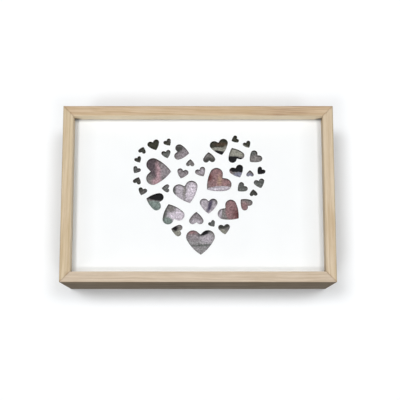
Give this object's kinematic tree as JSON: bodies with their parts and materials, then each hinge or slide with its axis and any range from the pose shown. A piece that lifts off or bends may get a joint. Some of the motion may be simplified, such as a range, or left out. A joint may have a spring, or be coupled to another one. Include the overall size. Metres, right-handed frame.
{
  "type": "wooden picture box",
  "caption": "Rectangular wooden box frame with a recessed white panel, whose heart-shaped cut-outs form one large heart and show a print behind.",
  "frame": {"origin": "centre of the box's bottom, which is the plane of the rails' back edges, because the box lies on its back", "axes": "+Z the way the picture faces, +Y towards the picture's upper side, +X towards the picture's right side"},
  "size_m": [0.28, 0.184, 0.072],
  "materials": {
    "rail_top": "light wood, fine straight grain, waxed matt",
    "rail_bottom": "light wood, fine straight grain, waxed matt",
    "rail_left": "light wood, fine straight grain, waxed matt",
    "rail_right": "light wood, fine straight grain, waxed matt",
    "heart_panel": "thin board painted matt white, with cut edges",
    "picture_print": "printed card in muted greys, mauves and dark olive",
    "back_board": "plain brown fibreboard"
  },
  "bodies": {
    "root": {"rail_top": "rail_top", "rail_bottom": "rail_bottom", "rail_left": "rail_left", "rail_right": "rail_right", "heart_panel": "heart_panel", "picture_print": "picture_print", "back_board": "back_board"}
  },
  "joints": []
}
